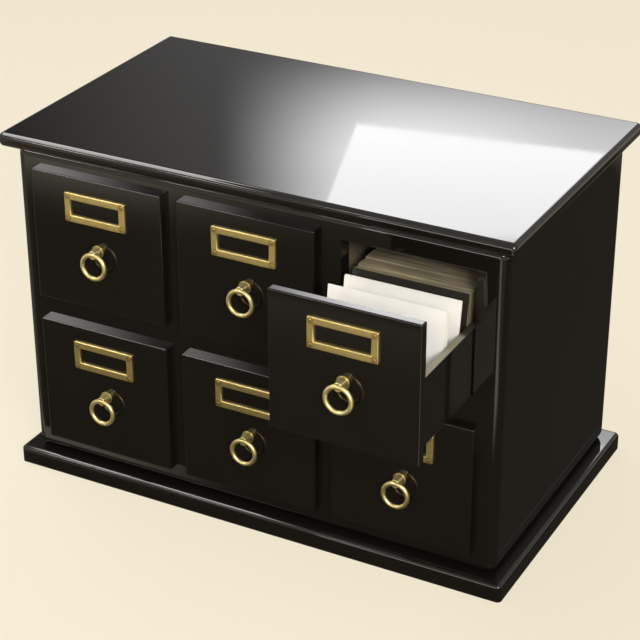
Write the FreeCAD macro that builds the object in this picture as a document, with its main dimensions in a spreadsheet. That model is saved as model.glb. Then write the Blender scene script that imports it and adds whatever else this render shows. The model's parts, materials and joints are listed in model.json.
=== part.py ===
import FreeCAD, Part
import os

import Sketcher
from FreeCAD import Placement, Rotation, Vector

# Six-drawer cabinet for 3 x 5 inch index cards: a lacquered carcass with two rows of three
# drawers, brass label frames and brass ring pulls. Millimetres, +Z up, the front faces -Y.
# The origin is the centre of the base board's underside.

doc = FreeCAD.newDocument("index_card_cabinet")

# ---------------------------------------------------------------- driving sizes

DRIVING_SIZES = [
    ("card_wide", 127.0, "index card, width"),
    ("card_tall", 75.3, "height that a leaning card takes up"),
    ("guide_card_tall", 81.0, "height that a leaning guide card takes up"),
    ("card_gap", 1.0, "from a card's edge to the drawer side"),
    ("head_room", 24.2, "from the guide card's top to the upper edge of the opening"),
    ("front_thick", 9.0, "drawer front, thickness, all of it proud of the face"),
    ("front_round", 1.4, "drawer front, rounding of the edges"),
    ("overlay", 6.5, "how far a front laps over its opening on each side"),
    ("column_gap", 18.7, "between two fronts side by side"),
    ("row_gap", 27.3, "between an upper and a lower front"),
    ("margin_side", 24.0, "from the outer fronts to the side of the body"),
    ("margin_above", 19.3, "from the upper fronts to the top board"),
    ("margin_below", 21.4, "from the lower fronts to the base board"),
    ("body_deep", 318.0, "body without its boards, front to back"),
    ("body_round", 10.0, "rounding of the body's edges and corners"),
    ("board_overhang", 13.5, "top board beyond the body, all round"),
    ("board_thick", 15.5, "top board, thickness"),
    ("board_round", 6.0, "top board, rounding of the edges"),
    ("base_overhang", 14.5, "base board beyond the body, all round"),
    ("base_thick", 20.3, "base board, thickness"),
    ("base_round", 5.0, "base board, rounding of the top edge and corners"),
    ("frame_thick", 18.0, "face frame, front to back"),
    ("partition_thick", 12.0, "partition between two bays"),
    ("shelf_thick", 12.0, "shelf under a row of drawers"),
    ("back_thick", 10.0, "back panel of the body"),
    ("rear_gap", 20.0, "from a closed drawer to the back panel"),
    ("side_gap", 1.5, "from a drawer side to the edge of its opening"),
    ("guide_gap", 0.5, "running gap between a drawer side and its guides"),
    ("run_gap", 0.3, "running gap under a drawer"),
    ("plank_thick", 7.5, "drawer side, thickness"),
    ("plank_high", 82.0, "top of the drawer sides above the lower edge of the front"),
    ("rear_thick", 8.0, "drawer back, thickness"),
    ("floor_thick", 5.0, "drawer bottom, thickness"),
    ("floor_high", 38.7, "top of the drawer bottom above the lower edge of the front"),
    ("groove_deep", 3.0, "groove for the drawer bottom, depth"),
    ("guide_lip", 6.5, "how far a top guide reaches over the drawer side"),
    ("guide_lip_thick", 8.0, "top guide, thickness"),
    ("stop_wide", 40.0, "stop block, width"),
    ("stop_deep", 12.0, "stop block, front to back"),
    ("stop_tall", 14.0, "stop block, height"),
    ("pulled_out", 127.5, "how far the upper right drawer stands open"),
    ("label_wide", 75.0, "label frame, width"),
    ("label_tall", 33.4, "label frame, height"),
    ("label_thick", 3.0, "label frame, thickness"),
    ("label_bar", 7.9, "label frame, width of its bars"),
    ("label_bevel", 0.9, "label frame, bevel of its edges"),
    ("label_high", 116.5, "centre of the label frame above the lower edge of the front"),
    ("pin_radius", 0.75, "label pin, shank"),
    ("pin_head", 1.8, "label pin, radius of the domed head"),
    ("pin_dome", 0.8, "label pin, height of the domed head"),
    ("pin_long", 8.0, "label pin, length of the shank"),
    ("fit_gap", 0.05, "radial clearance of pins, posts and rings in their holes"),
    ("ring_radius", 13.8, "pull ring, radius of the centre line"),
    ("ring_wire", 2.5, "pull ring, radius of the wire"),
    ("ring_high", 56.8, "centre of the ring above the lower edge of the front"),
    ("ring_out", 10.0, "plane of the ring in front of the drawer front"),
    ("post_radius", 5.0, "pull post, radius at the ring"),
    ("post_foot", 6.5, "pull post, radius at the flange"),
    ("ring_bulge", 1.0, "how far the ring stands out of the open slot in the post's end"),
    ("tip_round", 0.7, "pull post, rounding of its end"),
    ("flange_radius", 7.0, "pull post, radius of the flange"),
    ("flange_thick", 0.8, "pull post, thickness of the flange"),
    ("shank_radius", 2.0, "pull post, radius of the shank in the front"),
    ("shank_long", 7.0, "pull post, length of the shank"),
    ("card_lean", 12.0, "how far the top of a card leans back"),
    ("guide_card_at", 68.4, "foot of the guide card behind the front"),
    ("guide_card_thick", 1.0, "guide card and divider card, thickness"),
    ("front_bundle_thick", 8.0, "front bundle of cards, thickness"),
    ("middle_bundle_thick", 2.0, "middle bundle of cards, thickness"),
    ("middle_cards_at", 103.6, "foot of the middle bundle behind the front"),
    ("divider_card_at", 121.6, "foot of the divider card behind the front"),
]

sizes = doc.addObject("Spreadsheet::Sheet", "sizes")
for row, (alias, value, meaning) in enumerate(DRIVING_SIZES, start=1):
    sizes.set(f"A{row}", meaning)
    sizes.set(f"B{row}", str(value))
    sizes.setAlias(f"B{row}", alias)
doc.recompute()

# ---------------------------------------------------------------- sizes that follow

ROWS = [("upper", 1), ("lower", 0)]
COLUMNS = [("left", -1), ("middle", 0), ("right", 1)]
OPEN_DRAWER = "upper_right"

FOLLOWING_SIZES = [
    ("box_inside", "sizes.card_wide + 2 * sizes.card_gap"),
    ("box_wide", "box_inside + 2 * sizes.plank_thick"),
    ("opening_wide", "box_wide + 2 * sizes.side_gap"),
    ("opening_tall", "sizes.floor_high + sizes.guide_card_tall + sizes.head_room - sizes.overlay"),
    ("front_wide", "opening_wide + 2 * sizes.overlay"),
    ("front_tall", "opening_tall + 2 * sizes.overlay"),
    ("column_pitch", "front_wide + sizes.column_gap"),
    ("row_pitch", "front_tall + sizes.row_gap"),
    ("body_wide", "3 * front_wide + 2 * sizes.column_gap + 2 * sizes.margin_side"),
    ("body_tall", "2 * front_tall + sizes.row_gap + sizes.margin_above + sizes.margin_below"),
    ("body_top", "sizes.base_thick + body_tall"),
    ("face", "-sizes.body_deep / 2"),
    ("bay_front", "face + sizes.frame_thick"),
    ("bay_back", "sizes.body_deep / 2 - sizes.back_thick"),
    ("bay_deep", "bay_back - bay_front"),
    ("bay_wide", "column_pitch - sizes.partition_thick"),
    ("side_thick", "(body_wide - 3 * bay_wide - 2 * sizes.partition_thick) / 2"),
    ("inner_wide", "body_wide - 2 * side_thick"),
    ("inner_stile", "column_pitch - opening_wide"),
    ("outer_stile", "(inner_wide - 3 * opening_wide - 2 * inner_stile) / 2"),
    ("lower_opening", "sizes.base_thick + sizes.margin_below + sizes.overlay"),
    ("upper_opening", "lower_opening + row_pitch"),
    ("box_long", "sizes.body_deep - sizes.back_thick - sizes.rear_gap"),
    ("box_low", "sizes.overlay + sizes.run_gap"),
    ("box_tall", "sizes.plank_high - box_low"),
    ("floor_long", "box_long - sizes.rear_thick"),
    ("floor_low", "sizes.floor_high - sizes.floor_thick"),
    ("guide_wide", "(bay_wide - box_wide) / 2 - sizes.guide_gap"),
    ("guide_tall", "sizes.plank_high + sizes.guide_gap - sizes.overlay"),
    ("label_pin_x", "(sizes.label_wide - sizes.label_bar) / 2"),
    ("label_pin_z", "(sizes.label_tall - sizes.label_bar) / 2"),
    ("pivot_high", "sizes.ring_high + sizes.ring_radius"),
    ("rear_cards_at", "sizes.divider_card_at + sizes.guide_card_thick"),
    ("rear_cards_thick", "floor_long - sizes.card_lean - rear_cards_at"),
]
for row_name, level in ROWS:
    for column_name, side in COLUMNS:
        drawer = f"{row_name}_{column_name}"
        travel = "sizes.pulled_out" if drawer == OPEN_DRAWER else "0"
        FOLLOWING_SIZES += [
            (f"{drawer}_x", f"{side} * column_pitch"),
            (f"{drawer}_y", f"face - {travel}"),
            (f"{drawer}_z", f"lower_opening - sizes.overlay + {level} * row_pitch"),
        ]

layout = doc.addObject("Spreadsheet::Sheet", "layout")
for row, (alias, formula) in enumerate(FOLLOWING_SIZES, start=1):
    layout.set(f"A{row}", alias.replace("_", " "))
    layout.setAlias(f"B{row}", alias)
for row, (alias, formula) in enumerate(FOLLOWING_SIZES, start=1):
    layout.set(f"B{row}", f"={formula}")
doc.recompute()

# ---------------------------------------------------------------- small helpers

sub_parts = []


def bind(thing, expressions):
    """Tie properties of a document object to the sheets."""
    for path, expression in expressions.items():
        thing.setExpression(path, expression)


def place(thing, x, y, z):
    """Tie the position of a document object to the sheets."""
    bind(thing, {"Placement.Base.x": x, "Placement.Base.y": y, "Placement.Base.z": z})


def finish(thing, label):
    """Name a sub-part and list it for the STEP files."""
    thing.Label = label
    sub_parts.append(thing)
    return thing


def box(name, size, corner):
    """A plain board: size and lower left front corner as expressions."""
    board = doc.addObject("Part::Box", name)
    bind(board, dict(zip(("Length", "Width", "Height"), size)))
    place(board, *corner)
    return board


def group(name, pieces):
    """Several separate solids of one kind in one sub-part."""
    compound = doc.addObject("Part::Compound", name)
    compound.Links = pieces
    return compound


def origin_plane(body, role):
    """One of the body's own origin planes, such as XY_Plane."""
    return next(plane for plane in body.Origin.OriginFeatures if plane.Role == role)


def new_sketch(body, name, role):
    sketch = body.newObject("Sketcher::SketchObject", name)
    sketch.AttachmentSupport = (origin_plane(body, role), [""])
    sketch.MapMode = "FlatFace"
    return sketch


def name_constraint(sketch, constraint, name, expression):
    """Add a constraint with a name and tie its value to the sheets."""
    index = sketch.addConstraint(constraint)
    sketch.renameConstraint(index, name)
    sketch.setExpression(f"Constraints.{name}", expression)


def add_rectangle(sketch, name, wide, tall, start):
    """A rectangle centred on the sketch's origin. start is a rough size to draw it at."""
    half_wide, half_tall = start
    corners = [
        Vector(-half_wide, -half_tall, 0),
        Vector(half_wide, -half_tall, 0),
        Vector(half_wide, half_tall, 0),
        Vector(-half_wide, half_tall, 0),
    ]
    first = len(sketch.Geometry)
    for i in range(4):
        sketch.addGeometry(Part.LineSegment(corners[i], corners[(i + 1) % 4]), False)
    for i in range(4):
        following = first + (i + 1) % 4
        sketch.addConstraint(Sketcher.Constraint("Coincident", first + i, 2, following, 1))
    for i in (0, 2):
        sketch.addConstraint(Sketcher.Constraint("Horizontal", first + i))
    for i in (1, 3):
        sketch.addConstraint(Sketcher.Constraint("Vertical", first + i))
    sketch.addConstraint(Sketcher.Constraint("Symmetric", first, 1, first + 2, 1, -1, 1))
    width = Sketcher.Constraint("DistanceX", first, 1, first, 2, 2 * half_wide)
    name_constraint(sketch, width, f"{name}_wide", wide)
    height = Sketcher.Constraint("DistanceY", first + 1, 1, first + 1, 2, 2 * half_tall)
    name_constraint(sketch, height, f"{name}_tall", tall)


def add_circle(sketch, name, radius, x, y):
    """A circle with its radius and centre tied to the sheets."""
    circle = sketch.addGeometry(Part.Circle(Vector(1, 1, 0), Vector(0, 0, 1), 1), False)
    name_constraint(sketch, Sketcher.Constraint("Radius", circle, 1), f"{name}_radius", radius)
    across = Sketcher.Constraint("DistanceX", -1, 1, circle, 3, 1)
    name_constraint(sketch, across, f"{name}_x", x)
    up = Sketcher.Constraint("DistanceY", -1, 1, circle, 3, 1)
    name_constraint(sketch, up, f"{name}_y", y)


def edge_names(feature, wanted):
    """Names of the edges of a feature whose middle point passes the test."""
    names = []
    for number, edge in enumerate(feature.Shape.Edges, start=1):
        middle = edge.valueAt((edge.FirstParameter + edge.LastParameter) / 2)
        if wanted(middle):
            names.append(f"Edge{number}")
    return names


def check_cut(body, before):
    """Stop if the body's last cut took nothing away, as one that points outwards would."""
    doc.recompute()
    if body.Tip.Shape.Volume >= before:
        raise ValueError(f"{body.Name}: the cut {body.Tip.Name} removed nothing")


def cut_pocket(body, name, sketch, depth, from_behind=False):
    """A pocket of a given depth, cut from the sketch's plane."""
    before = body.Tip.Shape.Volume
    pocket = body.newObject("PartDesign::Pocket", name)
    pocket.Profile = sketch
    pocket.Reversed = from_behind
    bind(pocket, {"Length": depth})
    check_cut(body, before)


# ---------------------------------------------------------------- carcass


def rounded_board(name, wide, deep, thick, rounding, low_edges_too):
    """A board centred over the origin with rounded edges and corners."""
    body = doc.addObject("PartDesign::Body", name)
    outline = new_sketch(body, f"{name}_outline", "XY_Plane")
    add_rectangle(outline, "board", wide, deep, (250, 150))
    pad = body.newObject("PartDesign::Pad", f"{name}_pad")
    pad.Profile = outline
    bind(pad, {"Length": thick})
    doc.recompute()
    fillet = body.newObject("PartDesign::Fillet", f"{name}_round")
    above = -1.0 if low_edges_too else 0.001
    fillet.Base = (pad, edge_names(pad, lambda middle: middle.z > above))
    bind(fillet, {"Radius": rounding})
    body.Tip = fillet
    return body


def clipped(name, form, size, corner):
    """The part of a rounded form that lies in one board's place."""
    common = doc.addObject("Part::Common", name)
    common.Base = form
    common.Tool = box(f"{name}_blank", size, corner)
    return common


def make_carcass():
    body_form = rounded_board(
        "body_form", "layout.body_wide", "sizes.body_deep", "layout.body_tall", "sizes.body_round", True
    )
    place(body_form, "0", "0", "sizes.base_thick")

    top = rounded_board(
        "top_board",
        "layout.body_wide + 2 * sizes.board_overhang",
        "sizes.body_deep + 2 * sizes.board_overhang",
        "sizes.board_thick",
        "sizes.board_round",
        True,
    )
    place(top, "0", "0", "layout.body_top")
    finish(top, "top_board")

    base = rounded_board(
        "base_board",
        "layout.body_wide + 2 * sizes.base_overhang",
        "sizes.body_deep + 2 * sizes.base_overhang",
        "sizes.base_thick",
        "sizes.base_round",
        False,
    )
    place(base, "0", "0", "0")
    finish(base, "base_board")

    side_size = ("layout.side_thick", "sizes.body_deep", "layout.body_tall")
    left_corner = ("-layout.body_wide / 2", "layout.face", "sizes.base_thick")
    right_corner = ("layout.inner_wide / 2", "layout.face", "sizes.base_thick")
    finish(clipped("left_side", body_form, side_size, left_corner), "left_side")
    finish(clipped("right_side", body_form, side_size, right_corner), "right_side")

    back_size = ("layout.inner_wide", "sizes.back_thick", "layout.body_tall")
    back_corner = ("-layout.inner_wide / 2", "layout.bay_back", "sizes.base_thick")
    finish(clipped("back_panel", body_form, back_size, back_corner), "back_panel")

    rail_left = "-layout.inner_wide / 2"
    bottom_tall = "layout.lower_opening - sizes.base_thick"
    bottom_size = ("layout.inner_wide", "sizes.frame_thick", bottom_tall)
    bottom_corner = (rail_left, "layout.face", "sizes.base_thick")
    finish(clipped("bottom_rail", body_form, bottom_size, bottom_corner), "bottom_rail")

    middle_low = "layout.lower_opening + layout.opening_tall"
    middle_size = ("layout.inner_wide", "sizes.frame_thick", f"layout.upper_opening - ({middle_low})")
    finish(box("middle_rail", middle_size, (rail_left, "layout.face", middle_low)), "middle_rail")

    top_low = "layout.upper_opening + layout.opening_tall"
    top_size = ("layout.inner_wide", "sizes.frame_thick", f"layout.body_top - ({top_low})")
    finish(clipped("top_rail", body_form, top_size, (rail_left, "layout.face", top_low)), "top_rail")

    make_stiles()
    make_bays()


def make_stiles():
    """Short uprights between the rails: two narrow outer ones and two wide inner ones a row."""
    stiles = []
    for row_name, level in ROWS:
        low = f"layout.{row_name}_opening"
        places = [
            ("left", "layout.outer_stile", "-layout.inner_wide / 2"),
            ("left_middle", "layout.inner_stile", "-(layout.column_pitch + layout.inner_stile) / 2"),
            ("right_middle", "layout.inner_stile", "(layout.column_pitch - layout.inner_stile) / 2"),
            ("right", "layout.outer_stile", "layout.inner_wide / 2 - layout.outer_stile"),
        ]
        for stile_name, wide, left in places:
            size = (wide, "sizes.frame_thick", "layout.opening_tall")
            corner = (left, "layout.face", low)
            stiles.append(box(f"{row_name}_{stile_name}_stile", size, corner))
    finish(group("stiles", stiles), "stiles")


def make_bays():
    """Shelves, partitions, guides and stops: what carries and steers the drawers."""
    shelves, partitions, guides, stops = [], [], [], []
    for row_name, level in ROWS:
        deck = f"layout.{row_name}_opening"
        shelf_size = ("layout.inner_wide", "layout.bay_deep", "sizes.shelf_thick")
        shelf_corner = ("-layout.inner_wide / 2", "layout.bay_front", f"{deck} - sizes.shelf_thick")
        shelves.append(box(f"{row_name}_shelf", shelf_size, shelf_corner))

        ceiling = "layout.body_top" if row_name == "upper" else "(layout.upper_opening - sizes.shelf_thick)"
        partition_size = ("sizes.partition_thick", "layout.bay_deep", f"{ceiling} - {deck}")
        for side_name, side in (("left", -1), ("right", 1)):
            left = f"{side} * layout.column_pitch / 2 - sizes.partition_thick / 2"
            corner = (left, "layout.bay_front", deck)
            partitions.append(box(f"{row_name}_{side_name}_partition", partition_size, corner))

        for column_name, column in COLUMNS:
            bay = f"{row_name}_{column_name}"
            for hand_name, hand in (("left", -1), ("right", 1)):
                guides += make_guide(bay, hand_name, hand, deck)
            stop_size = ("sizes.stop_wide", "sizes.stop_deep", "sizes.stop_tall")
            stop_corner = (f"layout.{bay}_x - sizes.stop_wide / 2", "layout.bay_front", deck)
            stops.append(box(f"{bay}_stop", stop_size, stop_corner))
    finish(group("shelves", shelves), "shelves")
    finish(group("partitions", partitions), "partitions")
    finish(group("drawer_guides", guides), "drawer_guides")
    finish(group("drawer_stops", stops), "drawer_stops")


def make_guide(bay, hand_name, hand, deck):
    """Two strips: one beside the drawer side, and one on top of it that keeps the drawer level."""
    name = f"{bay}_{hand_name}"
    beside_left = f"layout.{bay}_x - layout.bay_wide / 2"
    above_left = beside_left
    if hand > 0:
        beside_left = f"layout.{bay}_x + layout.bay_wide / 2 - layout.guide_wide"
        above_left = f"{beside_left} - sizes.guide_lip"
    beside_size = ("layout.guide_wide", "layout.bay_deep", "layout.guide_tall")
    beside = box(f"{name}_side_guide", beside_size, (beside_left, "layout.bay_front", deck))
    above_size = ("layout.guide_wide + sizes.guide_lip", "layout.bay_deep", "sizes.guide_lip_thick")
    above_corner = (above_left, "layout.bay_front", f"{deck} + layout.guide_tall")
    return [beside, box(f"{name}_top_guide", above_size, above_corner)]


# ---------------------------------------------------------------- drawers


def add_label_pin_holes(sketch):
    for across_name, across in (("left", -1), ("right", 1)):
        for level_name, level in (("low", -1), ("high", 1)):
            radius = "sizes.pin_radius + sizes.fit_gap"
            x = f"{across} * layout.label_pin_x"
            y = f"{level} * layout.label_pin_z"
            add_circle(sketch, f"{across_name}_{level_name}", radius, x, y)


def make_front(drawer):
    """Overlay front. Its body's origin lies on the outer face, at the label frame's centre."""
    name = f"{drawer}_front"
    body = doc.addObject("PartDesign::Body", name)
    outline = new_sketch(body, f"{name}_outline", "XZ_Plane")
    add_rectangle(outline, "front", "layout.front_wide", "layout.front_tall", (80, 75))
    shift = "sizes.label_high - layout.front_tall / 2"
    outline.setExpression("AttachmentOffset.Base.y", f"-({shift})")
    pad = body.newObject("PartDesign::Pad", f"{name}_pad")
    pad.Profile = outline
    pad.Reversed = True
    bind(pad, {"Length": "sizes.front_thick"})
    doc.recompute()
    fillet = body.newObject("PartDesign::Fillet", f"{name}_round")
    behind = pad.Shape.BoundBox.YMax - 0.001
    fillet.Base = (pad, edge_names(pad, lambda middle: middle.y < behind))
    bind(fillet, {"Radius": "sizes.front_round"})
    body.Tip = fillet
    doc.recompute()

    pin_holes = new_sketch(body, f"{name}_pin_holes", "XZ_Plane")
    add_label_pin_holes(pin_holes)
    pin_depth = "sizes.pin_long - sizes.label_thick + sizes.fit_gap"
    cut_pocket(body, f"{name}_pin_pocket", pin_holes, pin_depth)

    post_hole = new_sketch(body, f"{name}_post_hole", "XZ_Plane")
    post_radius = "sizes.shank_radius + sizes.fit_gap"
    add_circle(post_hole, "post", post_radius, "0", "layout.pivot_high - sizes.label_high")
    post_depth = "sizes.shank_long + sizes.fit_gap"
    cut_pocket(body, f"{name}_post_pocket", post_hole, post_depth)

    place(
        body,
        f"layout.{drawer}_x",
        f"layout.{drawer}_y - sizes.front_thick",
        f"layout.{drawer}_z + sizes.label_high",
    )
    finish(body, name)


def make_box(drawer):
    """Sides, back and bottom of one drawer."""
    middle, front, low = f"layout.{drawer}_x", f"layout.{drawer}_y", f"layout.{drawer}_z"
    side_low = f"{low} + layout.box_low"
    floor_low = f"{low} + layout.floor_low"
    planks = []
    for hand_name, hand in (("left", -1), ("right", 1)):
        left = f"{middle} - layout.box_wide / 2"
        groove_left = f"{middle} - layout.box_inside / 2 - sizes.groove_deep"
        if hand > 0:
            left = f"{middle} + layout.box_inside / 2"
            groove_left = left
        plank = doc.addObject("Part::Cut", f"{drawer}_{hand_name}_side")
        plank_size = ("sizes.plank_thick", "layout.box_long", "layout.box_tall")
        plank.Base = box(f"{drawer}_{hand_name}_plank", plank_size, (left, front, side_low))
        groove_size = ("sizes.groove_deep", "layout.floor_long", "sizes.floor_thick")
        groove_corner = (groove_left, front, floor_low)
        plank.Tool = box(f"{drawer}_{hand_name}_groove", groove_size, groove_corner)
        planks.append(plank)
    finish(group(f"{drawer}_sides", planks), f"{drawer}_sides")

    inside_left = f"{middle} - layout.box_inside / 2"
    back_size = ("layout.box_inside", "sizes.rear_thick", "layout.box_tall")
    back_corner = (inside_left, f"{front} + layout.floor_long", side_low)
    finish(box(f"{drawer}_back", back_size, back_corner), f"{drawer}_back")

    floor_size = ("layout.box_inside + 2 * sizes.groove_deep", "layout.floor_long", "sizes.floor_thick")
    floor_corner = (f"{inside_left} - sizes.groove_deep", front, floor_low)
    finish(box(f"{drawer}_bottom", floor_size, floor_corner), f"{drawer}_bottom")


def make_label_pin(name, drawer, across, level):
    """A round-headed pin: a shank in the front and a domed head on the label frame."""
    x = f"layout.{drawer}_x + {across} * layout.label_pin_x"
    y = f"layout.{drawer}_y - sizes.front_thick - sizes.label_thick"
    z = f"layout.{drawer}_z + sizes.label_high + {level} * layout.label_pin_z"
    to_the_back = Placement(Vector(), Rotation(Vector(1, 0, 0), -90))
    shank = doc.addObject("Part::Cylinder", f"{name}_shank")
    shank.Placement = to_the_back
    bind(shank, {"Radius": "sizes.pin_radius", "Height": "sizes.pin_long"})
    place(shank, x, y, z)
    head = doc.addObject("Part::Ellipsoid", f"{name}_head")
    to_the_front = Placement(Vector(), Rotation(Vector(1, 0, 0), 90))
    head.Placement = to_the_front
    head.Angle1 = 0
    bind(
        head,
        {"Radius1": "sizes.pin_dome", "Radius2": "sizes.pin_head", "Radius3": "sizes.pin_head"},
    )
    place(head, x, y, z)
    pin = doc.addObject("Part::Fuse", name)
    pin.Base = shank
    pin.Tool = head
    return pin


def make_label_frame(drawer):
    """Brass frame with bevelled edges and its four pins."""
    name = f"{drawer}_label_frame"
    body = doc.addObject("PartDesign::Body", f"{name}_bars")
    outline = new_sketch(body, f"{name}_outline", "XZ_Plane")
    add_rectangle(outline, "outer", "sizes.label_wide", "sizes.label_tall", (38, 17))
    window_wide = "sizes.label_wide - 2 * sizes.label_bar"
    window_tall = "sizes.label_tall - 2 * sizes.label_bar"
    add_rectangle(outline, "window", window_wide, window_tall, (29, 8))
    pad = body.newObject("PartDesign::Pad", f"{name}_pad")
    pad.Profile = outline
    bind(pad, {"Length": "sizes.label_thick"})
    doc.recompute()
    chamfer = body.newObject("PartDesign::Chamfer", f"{name}_bevel")
    in_front = pad.Shape.BoundBox.YMin + 0.001
    chamfer.Base = (pad, edge_names(pad, lambda middle: middle.y < in_front))
    bind(chamfer, {"Size": "sizes.label_bevel"})
    body.Tip = chamfer
    doc.recompute()
    pin_holes = new_sketch(body, f"{name}_pin_holes", "XZ_Plane")
    add_label_pin_holes(pin_holes)
    cut_pocket(body, f"{name}_pin_pocket", pin_holes, "sizes.label_thick", from_behind=True)
    place(
        body,
        f"layout.{drawer}_x",
        f"layout.{drawer}_y - sizes.front_thick",
        f"layout.{drawer}_z + sizes.label_high",
    )
    pieces = [body]
    for across_name, across in (("left", -1), ("right", 1)):
        for level_name, level in (("low", -1), ("high", 1)):
            pin_name = f"{drawer}_{across_name}_{level_name}_pin"
            pieces.append(make_label_pin(pin_name, drawer, across, level))
    finish(group(name, pieces), name)


def post_profile(sketch):
    """Half outline of the turned post, from the shank in the wood to the rounded tip.

    In the sketch the post's axis is the vertical axis, and the outer face of the drawer front
    is the horizontal one, with the ring's side above it.
    """
    tip = "sizes.ring_out + sizes.ring_wire - sizes.ring_bulge"
    corners = [
        ("axis_foot", "0", "-sizes.shank_long"),
        ("shank_foot", "sizes.shank_radius", "-sizes.shank_long"),
        ("shank_head", "sizes.shank_radius", "0"),
        ("flange_back", "sizes.flange_radius", "0"),
        ("flange_front", "sizes.flange_radius", "sizes.flange_thick"),
        ("neck_foot", "sizes.post_foot", "sizes.flange_thick"),
        ("neck_head", "sizes.post_radius", "sizes.ring_out"),
        ("tip_edge", "sizes.post_radius", tip),
        ("axis_tip", "0", tip),
    ]
    points = [Vector(0.3 * i, i, 0) for i in range(len(corners))]
    for i in range(len(corners)):
        following = (i + 1) % len(corners)
        sketch.addGeometry(Part.LineSegment(points[i], points[following]), False)
    for i in range(len(corners)):
        following = (i + 1) % len(corners)
        sketch.addConstraint(Sketcher.Constraint("Coincident", i, 2, following, 1))
    for i, (corner, across, along) in enumerate(corners):
        x = Sketcher.Constraint("DistanceX", -1, 1, i, 1, points[i].x)
        name_constraint(sketch, x, f"{corner}_x", across)
        y = Sketcher.Constraint("DistanceY", -1, 1, i, 1, points[i].y)
        name_constraint(sketch, y, f"{corner}_y", along)


def ring_bore_profile(sketch):
    """Half outline of the cross bore, which the ring's inner curve follows at the fit gap.

    In the sketch the bore's axis is the horizontal axis. The bore is narrow in the middle and
    opens to both sides, so that the bent wire can turn in it. It breaks through the end of the
    post as a slot that is narrower than the wire, so the wire shows there and can't come out.
    """
    half_long = "sizes.flange_radius"
    arc_radius = "sizes.ring_radius - sizes.ring_wire - sizes.fit_gap"
    mouth = f"sizes.ring_radius - sqrt(({arc_radius}) ^ 2 - ({half_long}) ^ 2)"
    arc = sketch.addGeometry(Part.Arc(Vector(-7, 5, 0), Vector(0, 2.5, 0), Vector(7, 5, 0)), False)
    lines = [
        (Vector(7, 5, 0), Vector(7, 0, 0)),
        (Vector(7, 0, 0), Vector(-7, 0, 0)),
        (Vector(-7, 0, 0), Vector(-7, 5, 0)),
    ]
    for start, end in lines:
        sketch.addGeometry(Part.LineSegment(start, end), False)
    right_end, left_end = 2, 1
    if sketch.getPoint(arc, 1).x > 0:
        right_end, left_end = 1, 2
    sketch.addConstraint(Sketcher.Constraint("Coincident", arc, right_end, 1, 1))
    sketch.addConstraint(Sketcher.Constraint("Coincident", 1, 2, 2, 1))
    sketch.addConstraint(Sketcher.Constraint("Coincident", 2, 2, 3, 1))
    sketch.addConstraint(Sketcher.Constraint("Coincident", 3, 2, arc, left_end))
    sketch.addConstraint(Sketcher.Constraint("PointOnObject", arc, 3, -2))
    sketch.addConstraint(Sketcher.Constraint("Vertical", 1))
    sketch.addConstraint(Sketcher.Constraint("Vertical", 3))
    sketch.addConstraint(Sketcher.Constraint("PointOnObject", 1, 2, -1))
    name_constraint(sketch, Sketcher.Constraint("Radius", arc, 11), "curve", arc_radius)
    half = Sketcher.Constraint("DistanceX", -1, 1, 1, 2, 7)
    name_constraint(sketch, half, "half_long", half_long)
    mouth_height = Sketcher.Constraint("DistanceY", 1, 2, 1, 1, 5)
    name_constraint(sketch, mouth_height, "mouth", mouth)
    sketch.addConstraint(Sketcher.Constraint("PointOnObject", 2, 2, -1))


def make_pull(drawer):
    """Turned post and its ring. The post's body has the drawer front's outer face at y = 0."""
    name = f"{drawer}_pull_post"
    body = doc.addObject("PartDesign::Body", name)
    half = new_sketch(body, f"{name}_half", "XY_Plane")
    half.AttachmentOffset = Placement(Vector(), Rotation(Vector(0, 0, 1), 180))
    post_profile(half)
    turned = body.newObject("PartDesign::Revolution", f"{name}_turned")
    turned.Profile = half
    turned.ReferenceAxis = (half, ["V_Axis"])
    turned.Angle = 360
    doc.recompute()
    rounded = body.newObject("PartDesign::Fillet", f"{name}_tip_round")
    tip = turned.Shape.BoundBox.YMin
    rounded.Base = (turned, edge_names(turned, lambda middle: middle.y < tip + 0.001))
    bind(rounded, {"Radius": "sizes.tip_round"})
    body.Tip = rounded
    doc.recompute()
    bore = new_sketch(body, f"{name}_bore", "XY_Plane")
    bore.setExpression("AttachmentOffset.Base.y", "-sizes.ring_out")
    ring_bore_profile(bore)
    before = body.Tip.Shape.Volume
    groove = body.newObject("PartDesign::Groove", f"{name}_cross_bore")
    groove.Profile = bore
    groove.ReferenceAxis = (bore, ["H_Axis"])
    groove.Angle = 360
    check_cut(body, before)
    outer_face = f"layout.{drawer}_y - sizes.front_thick"
    pivot = f"layout.{drawer}_z + layout.pivot_high"
    place(body, f"layout.{drawer}_x", outer_face, pivot)
    finish(body, name)

    ring = doc.addObject("Part::Torus", f"{drawer}_pull_ring")
    ring.Placement = Placement(Vector(), Rotation(Vector(1, 0, 0), 90))
    bind(ring, {"Radius1": "sizes.ring_radius", "Radius2": "sizes.ring_wire"})
    ring_centre = f"layout.{drawer}_z + sizes.ring_high"
    place(ring, f"layout.{drawer}_x", f"{outer_face} - sizes.ring_out", ring_centre)
    finish(ring, f"{drawer}_pull_ring")


def make_drawer(drawer):
    make_front(drawer)
    make_box(drawer)
    make_label_frame(drawer)
    make_pull(drawer)


# ---------------------------------------------------------------- cards


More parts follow.
